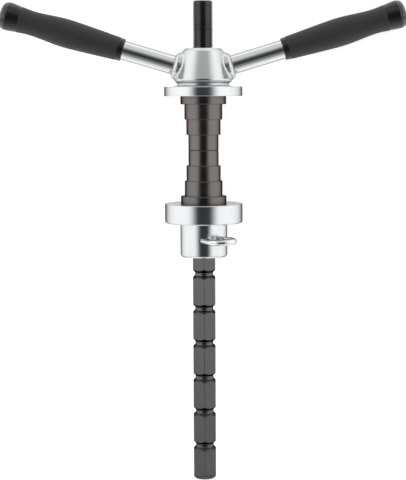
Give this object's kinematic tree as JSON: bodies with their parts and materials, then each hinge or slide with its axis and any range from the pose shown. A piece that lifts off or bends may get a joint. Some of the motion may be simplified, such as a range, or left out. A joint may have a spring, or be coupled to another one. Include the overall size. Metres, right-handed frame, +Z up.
{
  "type": "headset press",
  "caption": "Hand press for bicycle bearing cups: grooved hexagonal spindle, two-handled hub nut, swivelling press plate, stepped guides and a stop plate locked by a U-clip.",
  "frame": {"origin": "on the ground under the middle of the overall box of the lying press, at half the spindle's length", "axes": "+Y along the spindle towards the threaded end and the handles, +Z up from the ground, +X towards the handle whose grip touches the ground"},
  "size_m": [0.3416, 0.4085, 0.0698],
  "materials": {
    "black_steel": "black oxide on machined steel, satin",
    "hub_plating": "satin zinc plating on turned steel",
    "bar_plating": "bright plating on round steel bar",
    "grip_black": "fine matte texture with smooth glossy end bands",
    "plate_plating": "bright zinc plating on turned steel, fine turning marks",
    "bearing_steel": "ground and polished",
    "cage_brass": "plain",
    "guide_dark": "burnished brown-black, turned",
    "clip_plating": "bright plating on round wire"
  },
  "bodies": {
    "spindle": {"spindle": "black_steel"},
    "hub_carriage": {"bearing_cage": "cage_brass", "bearing_balls": "bearing_steel"},
    "handle": {"hub": "hub_plating", "handle_bar_left": "bar_plating", "handle_bar_right": "bar_plating", "grip_left": "grip_black", "grip_right": "grip_black", "race_hub": "bearing_steel", "retaining_ring": "black_steel"},
    "press_plate": {"press_plate": "plate_plating", "race_plate": "bearing_steel"},
    "stop": {"stop_plate": "plate_plating", "guide_upper": "guide_dark", "guide_lower": "guide_dark"},
    "clip": {"lock_clip": "clip_plating"}
  },
  "joints": [
    {"name": "press_travel", "type": "slide", "parent": "spindle", "child": "hub_carriage", "axis": [0, 1, 0], "range_m": [0, 0.0381]},
    {"name": "handle_turn", "type": "hinge", "parent": "hub_carriage", "child": "handle", "pos_m": [0, 0.14345, 0.033], "axis": [0, 1, 0], "range_deg": [0, 6840]},
    {"name": "plate_swivel", "type": "hinge", "parent": "hub_carriage", "child": "press_plate", "pos_m": [0, 0.12875, 0.033], "axis": [0, 1, 0], "continuous": true},
    {"name": "stop_slide", "type": "slide", "parent": "spindle", "child": "stop", "axis": [0, -1, 0], "range_m": [0, 0.1785]},
    {"name": "clip_pull", "type": "slide", "parent": "stop", "child": "clip", "axis": [0.5976, 0, 0.8018], "range_m": [0, 0.024]}
  ],
  "couplings": [
    {"joint": "press_travel", "follows": "handle_turn", "m_per_rad": 0.00031831}
  ]
}
